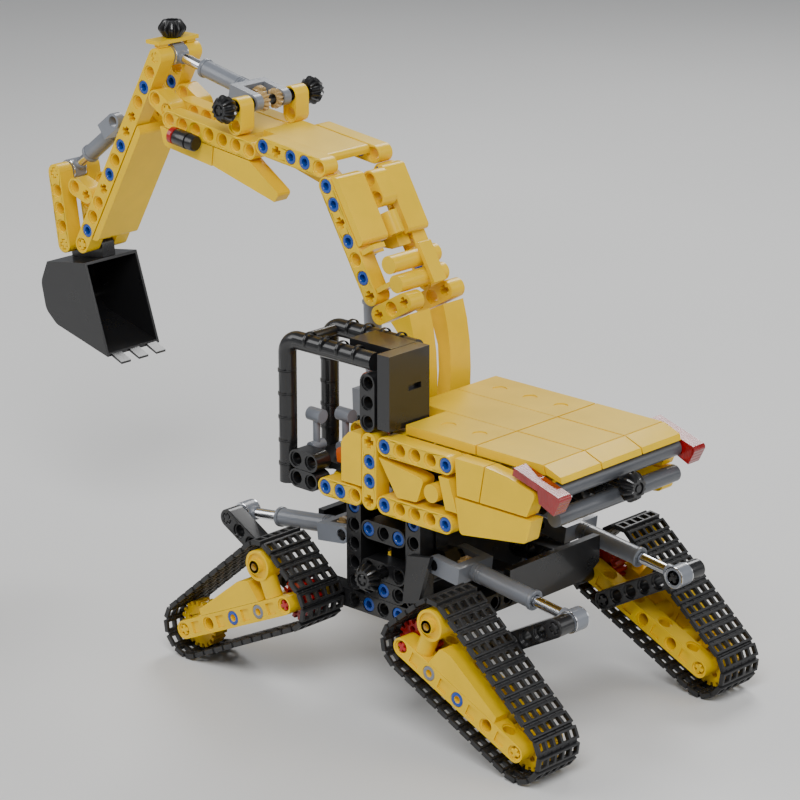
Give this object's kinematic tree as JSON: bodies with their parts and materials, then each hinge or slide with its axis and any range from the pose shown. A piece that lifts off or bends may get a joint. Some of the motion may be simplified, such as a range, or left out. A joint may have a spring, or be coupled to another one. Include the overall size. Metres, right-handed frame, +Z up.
{
  "type": "rc excavator",
  "caption": "Brick-built crawler excavator on four tilting tracked legs, with slewing house, jointed boom, stick and bucket.",
  "frame": {"origin": "mouth of the vertical stand hole in the chassis underside, on the slew axis", "axes": "+X forward towards the bucket, +Y left, +Z up"},
  "size_m": [0.3466, 0.1375, 0.2457],
  "materials": {
    "yellow": "smooth",
    "black": "smooth",
    "blue": "smooth",
    "grey": "smooth",
    "dark_grey": "smooth",
    "track_black": "moulded",
    "red": "smooth",
    "orange": "smooth",
    "chrome": "polished"
  },
  "bodies": {
    "chassis": {"chassis_frame": "black", "chassis_pins": "blue"},
    "knob_left": {"leg_knob_left": "black"},
    "knob_right": {"leg_knob_right": "black"},
    "house": {"house_frame": "yellow", "house_base": "black", "deck": "yellow", "side_fairings": "yellow", "tail_lights": "red", "rear_tubes": "dark_grey", "house_pins": "blue", "cab_frame": "black", "cab_seat": "orange"},
    "rear_knob_body": {"rear_knob": "black"},
    "cab_lever_l": {"cab_lever_left": "grey"},
    "cab_lever_r": {"cab_lever_right": "grey"},
    "boom": {"boom_frame": "yellow", "boom_panels": "yellow", "boom_pins": "blue", "lamp": "black"},
    "lift_screw": {"lift_barrel": "grey"},
    "lift_screw_rod": {"lift_rod": "chrome"},
    "stick_screw": {"stick_barrel": "grey"},
    "stick_screw_rod": {"stick_rod": "chrome"},
    "stick_knob_shaft": {"stick_knobs": "black"},
    "stick": {"stick_frame": "yellow", "stick_pins": "blue"},
    "top_knob": {"stick_top_knob": "black"},
    "bucket_screw": {"bucket_barrel": "grey"},
    "bucket_screw_rod": {"bucket_rod": "chrome"},
    "link": {"bucket_link": "yellow"},
    "bucket_body": {"bucket": "black"},
    "leg_front_left": {"leg_frame_front_left": "yellow", "leg_lever_front_left": "black", "track_front_left": "track_black"},
    "drive_front_left": {"drive_wheel_front_left": "yellow"},
    "hub_front_left": {"hub_wheel_front_left": "red"},
    "screw_front_left": {"leg_barrel_front_left": "grey"},
    "screw_rod_front_left": {"leg_rod_front_left": "chrome"},
    "leg_front_right": {"leg_frame_front_right": "yellow", "leg_lever_front_right": "black", "track_front_right": "track_black"},
    "drive_front_right": {"drive_wheel_front_right": "yellow"},
    "hub_front_right": {"hub_wheel_front_right": "red"},
    "screw_front_right": {"leg_barrel_front_right": "grey"},
    "screw_rod_front_right": {"leg_rod_front_right": "chrome"},
    "leg_rear_left": {"leg_frame_rear_left": "yellow", "leg_lever_rear_left": "black", "track_rear_left": "track_black"},
    "drive_rear_left": {"drive_wheel_rear_left": "yellow"},
    "hub_rear_left": {"hub_wheel_rear_left": "red"},
    "screw_rear_left": {"leg_barrel_rear_left": "grey"},
    "screw_rod_rear_left": {"leg_rod_rear_left": "chrome"},
    "leg_rear_right": {"leg_frame_rear_right": "yellow", "leg_lever_rear_right": "black", "track_rear_right": "track_black"},
    "drive_rear_right": {"drive_wheel_rear_right": "yellow"},
    "hub_rear_right": {"hub_wheel_rear_right": "red"},
    "screw_rear_right": {"leg_barrel_rear_right": "grey"},
    "screw_rod_rear_right": {"leg_rod_rear_right": "chrome"}
  },
  "joints": [
    {"name": "tilt_front_left", "type": "hinge", "parent": "chassis", "child": "leg_front_left", "pos_m": [0.032, 0.044, 0.004], "axis": [0, -1, 0], "range_deg": [-8, 10]},
    {"name": "swing_front_left", "type": "hinge", "parent": "chassis", "child": "screw_front_left", "pos_m": [0.0248, 0.032, 0.0288], "axis": [0, -1, 0], "range_deg": [-7.79, 9.74]},
    {"name": "extend_front_left", "type": "slide", "parent": "screw_front_left", "child": "screw_rod_front_left", "axis": [0.9916, 0, -0.1294], "range_m": [-0.00479, 0.00383]},
    {"name": "spin_drive_front_left", "type": "hinge", "parent": "leg_front_left", "child": "drive_front_left", "pos_m": [0.09028, 0.056, -0.02244], "axis": [0, 1, 0], "continuous": true},
    {"name": "spin_hub_front_left", "type": "hinge", "parent": "leg_front_left", "child": "hub_front_left", "pos_m": [0.032, 0.056, 0.004], "axis": [0, 1, 0], "continuous": true},
    {"name": "tilt_front_right", "type": "hinge", "parent": "chassis", "child": "leg_front_right", "pos_m": [0.032, -0.044, 0.004], "axis": [0, -1, 0], "range_deg": [-8, 10]},
    {"name": "swing_front_right", "type": "hinge", "parent": "chassis", "child": "screw_front_right", "pos_m": [0.0248, -0.032, 0.0288], "axis": [0, -1, 0], "range_deg": [-7.79, 9.74]},
    {"name": "extend_front_right", "type": "slide", "parent": "screw_front_right", "child": "screw_rod_front_right", "axis": [0.9916, 0, -0.1294], "range_m": [-0.00479, 0.00383]},
    {"name": "spin_drive_front_right", "type": "hinge", "parent": "leg_front_right", "child": "drive_front_right", "pos_m": [0.09028, -0.056, -0.02244], "axis": [0, 1, 0], "continuous": true},
    {"name": "spin_hub_front_right", "type": "hinge", "parent": "leg_front_right", "child": "hub_front_right", "pos_m": [0.032, -0.056, 0.004], "axis": [0, 1, 0], "continuous": true},
    {"name": "tilt_rear_left", "type": "hinge", "parent": "chassis", "child": "leg_rear_left", "pos_m": [-0.032, 0.044, 0.004], "axis": [0, 1, 0], "range_deg": [-8, 10]},
    {"name": "swing_rear_left", "type": "hinge", "parent": "chassis", "child": "screw_rear_left", "pos_m": [-0.0248, 0.032, 0.0288], "axis": [0, 1, 0], "range_deg": [-7.79, 9.74]},
    {"name": "extend_rear_left", "type": "slide", "parent": "screw_rear_left", "child": "screw_rod_rear_left", "axis": [-0.9916, 0, -0.1294], "range_m": [-0.00479, 0.00383]},
    {"name": "spin_drive_rear_left", "type": "hinge", "parent": "leg_rear_left", "child": "drive_rear_left", "pos_m": [-0.09028, 0.056, -0.02244], "axis": [0, 1, 0], "continuous": true},
    {"name": "spin_hub_rear_left", "type": "hinge", "parent": "leg_rear_left", "child": "hub_rear_left", "pos_m": [-0.032, 0.056, 0.004], "axis": [0, 1, 0], "continuous": true},
    {"name": "tilt_rear_right", "type": "hinge", "parent": "chassis", "child": "leg_rear_right", "pos_m": [-0.032, -0.044, 0.004], "axis": [0, 1, 0], "range_deg": [-8, 10]},
    {"name": "swing_rear_right", "type": "hinge", "parent": "chassis", "child": "screw_rear_right", "pos_m": [-0.0248, -0.032, 0.0288], "axis": [0, 1, 0], "range_deg": [-7.79, 9.74]},
    {"name": "extend_rear_right", "type": "slide", "parent": "screw_rear_right", "child": "screw_rod_rear_right", "axis": [-0.9916, 0, -0.1294], "range_m": [-0.00479, 0.00383]},
    {"name": "spin_drive_rear_right", "type": "hinge", "parent": "leg_rear_right", "child": "drive_rear_right", "pos_m": [-0.09028, -0.056, -0.02244], "axis": [0, 1, 0], "continuous": true},
    {"name": "spin_hub_rear_right", "type": "hinge", "parent": "leg_rear_right", "child": "hub_rear_right", "pos_m": [-0.032, -0.056, 0.004], "axis": [0, 1, 0], "continuous": true},
    {"name": "turn_knob_left", "type": "hinge", "parent": "chassis", "child": "knob_left", "pos_m": [0, 0.0524, 0.02], "axis": [0, 1, 0], "range_deg": [-92, 115]},
    {"name": "turn_knob_right", "type": "hinge", "parent": "chassis", "child": "knob_right", "pos_m": [0, -0.0524, 0.02], "axis": [0, 1, 0], "range_deg": [-92, 115]},
    {"name": "slew", "type": "hinge", "parent": "chassis", "child": "house", "pos_m": [0, 0, 0.044], "axis": [0, 0, 1], "continuous": true},
    {"name": "turn_rear_knob", "type": "hinge", "parent": "house", "child": "rear_knob_body", "pos_m": [-0.096, 0.008, 0.0696], "axis": [1, 0, 0], "continuous": true},
    {"name": "cab_lever_tilt_l", "type": "hinge", "parent": "house", "child": "cab_lever_l", "pos_m": [0.04, 0.04, 0.0628], "axis": [0, -1, 0], "range_deg": [-8, 8]},
    {"name": "cab_lever_tilt_r", "type": "hinge", "parent": "house", "child": "cab_lever_r", "pos_m": [0.0316, 0.032, 0.0628], "axis": [0, -1, 0], "range_deg": [-8, 8]},
    {"name": "boom_lift", "type": "hinge", "parent": "house", "child": "boom", "pos_m": [0.016, -0.008, 0.068], "axis": [0, -1, 0], "range_deg": [-10, 8]},
    {"name": "lift_swing", "type": "hinge", "parent": "house", "child": "lift_screw", "pos_m": [0.0528, -0.008, 0.0608], "axis": [0, -1, 0], "range_deg": [-10.78, 8.62]},
    {"name": "lift_extend", "type": "slide", "parent": "lift_screw", "child": "lift_screw_rod", "axis": [0.0417, 0, 0.9991], "range_m": [-0.00745, 0.00596]},
    {"name": "stick_swing", "type": "hinge", "parent": "boom", "child": "stick", "pos_m": [0.16324, -0.008, 0.17456], "axis": [0, -1, 0], "range_deg": [-14, 14]},
    {"name": "stick_screw_swing", "type": "hinge", "parent": "boom", "child": "stick_screw", "pos_m": [0.1136, -0.008, 0.1848], "axis": [0, -1, 0], "range_deg": [-3.3, 3.3]},
    {"name": "stick_extend", "type": "slide", "parent": "stick_screw", "child": "stick_screw_rod", "axis": [0.9794, 0, 0.202], "range_m": [-0.00562, 0.00562]},
    {"name": "turn_stick_knobs", "type": "hinge", "parent": "boom", "child": "stick_knob_shaft", "pos_m": [0.1136, -0.008, 0.1848], "axis": [0, 1, 0], "range_deg": [-161, 161]},
    {"name": "bucket_curl", "type": "hinge", "parent": "stick", "child": "bucket_body", "pos_m": [0.22002, -0.008, 0.10545], "axis": [0, -1, 0], "range_deg": [-14, 14]},
    {"name": "link_swing", "type": "hinge", "parent": "bucket_body", "child": "link", "pos_m": [0.23192, -0.008, 0.10336], "axis": [0, -1, 0], "range_deg": [-12.94, 12.94]},
    {"name": "bucket_screw_swing", "type": "hinge", "parent": "stick", "child": "bucket_screw", "pos_m": [0.19954, -0.008, 0.16363], "axis": [0, -1, 0], "range_deg": [-2.96, 2.96]},
    {"name": "bucket_extend", "type": "slide", "parent": "bucket_screw", "child": "bucket_screw_rod", "axis": [0.7936, 0, -0.6084], "range_m": [-0.00312, 0.00312]},
    {"name": "turn_top_knob", "type": "hinge", "parent": "stick", "child": "top_knob", "pos_m": [0.1712, -0.008, 0.20704], "axis": [0, 0, 1], "range_deg": [-161, 161]}
  ],
  "couplings": [
    {"joint": "swing_front_left", "follows": "tilt_front_left", "ratio": 0.84679},
    {"joint": "extend_front_left", "follows": "tilt_front_left", "m_per_rad": -0.02384},
    {"joint": "spin_hub_front_left", "follows": "spin_drive_front_left", "ratio": 1.25},
    {"joint": "swing_front_right", "follows": "tilt_front_right", "ratio": 0.84679},
    {"joint": "extend_front_right", "follows": "tilt_front_right", "m_per_rad": -0.02384},
    {"joint": "spin_hub_front_right", "follows": "spin_drive_front_right", "ratio": 1.25},
    {"joint": "tilt_rear_left", "follows": "tilt_front_left", "ratio": 1},
    {"joint": "swing_rear_left", "follows": "tilt_front_left", "ratio": 0.84679},
    {"joint": "extend_rear_left", "follows": "tilt_front_left", "m_per_rad": -0.02384},
    {"joint": "spin_hub_rear_left", "follows": "spin_drive_rear_left", "ratio": 1.25},
    {"joint": "tilt_rear_right", "follows": "tilt_front_right", "ratio": 1},
    {"joint": "swing_rear_right", "follows": "tilt_front_right", "ratio": 0.84679},
    {"joint": "extend_rear_right", "follows": "tilt_front_right", "m_per_rad": -0.02384},
    {"joint": "spin_hub_rear_right", "follows": "spin_drive_rear_right", "ratio": 1.25},
    {"joint": "turn_knob_left", "follows": "tilt_front_left", "ratio": 10},
    {"joint": "turn_knob_right", "follows": "tilt_front_right", "ratio": 10},
    {"joint": "turn_rear_knob", "follows": "slew", "ratio": 4.6667},
    {"joint": "lift_swing", "follows": "boom_lift", "ratio": 0.93718},
    {"joint": "lift_extend", "follows": "boom_lift", "m_per_rad": 0.03711},
    {"joint": "stick_screw_swing", "follows": "stick_swing", "ratio": 0.18143},
    {"joint": "stick_extend", "follows": "stick_swing", "m_per_rad": -0.01999},
    {"joint": "turn_stick_knobs", "follows": "stick_swing", "ratio": 10},
    {"joint": "link_swing", "follows": "bucket_curl", "ratio": -0.80354},
    {"joint": "bucket_screw_swing", "follows": "bucket_curl", "ratio": 0.16267},
    {"joint": "bucket_extend", "follows": "bucket_curl", "m_per_rad": -0.01109},
    {"joint": "turn_top_knob", "follows": "bucket_curl", "ratio": 10}
  ]
}
